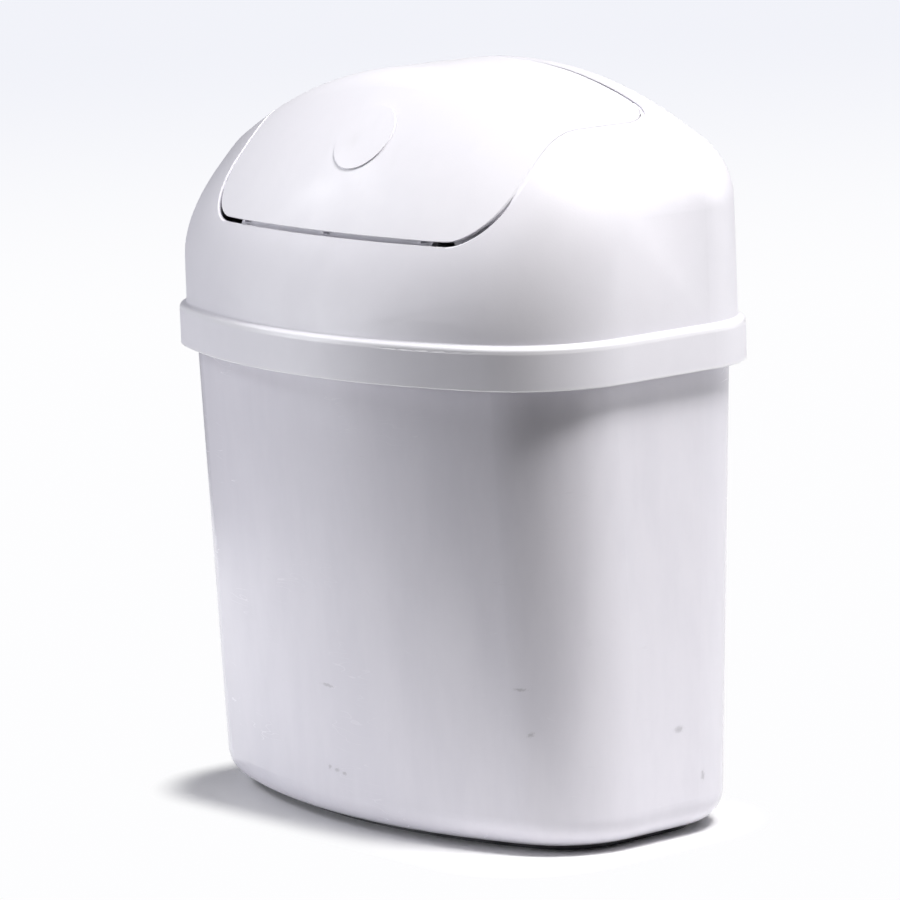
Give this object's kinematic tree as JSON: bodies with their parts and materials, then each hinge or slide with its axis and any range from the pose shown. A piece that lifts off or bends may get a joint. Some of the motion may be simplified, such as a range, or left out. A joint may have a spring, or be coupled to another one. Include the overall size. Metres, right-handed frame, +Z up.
{
  "type": "countertop trash can with swing lid",
  "caption": "Small countertop waste bin: tapered bucket with rounded corners, lift-off domed hood with a band round its rim, and a swing flap that is pushed in at the front.",
  "frame": {"origin": "on the table, under the middle of the band that runs round the hood", "axes": "+Z up; the sloping front with the flap faces -Y; +X along the width, parallel to the flap's axis"},
  "size_m": [0.212, 0.126, 0.2554],
  "materials": {
    "bucket_plastic": "cool white moulded polypropylene, glossier than the hood",
    "hood_plastic": "off-white moulded polypropylene, satin",
    "flap_plastic": "off-white moulded polypropylene, satin"
  },
  "bodies": {
    "bucket": {"bucket": "bucket_plastic"},
    "hood": {"hood": "hood_plastic"},
    "flap": {"flap": "flap_plastic"}
  },
  "joints": [
    {"name": "hood_lift", "type": "slide", "parent": "bucket", "child": "hood", "axis": [0, 0, 1], "range_m": [0, 0.08]},
    {"name": "flap_swing", "type": "hinge", "parent": "hood", "child": "flap", "pos_m": [0, -0.015, 0.2245], "axis": [1, 0, 0], "range_deg": [0, 75]}
  ]
}
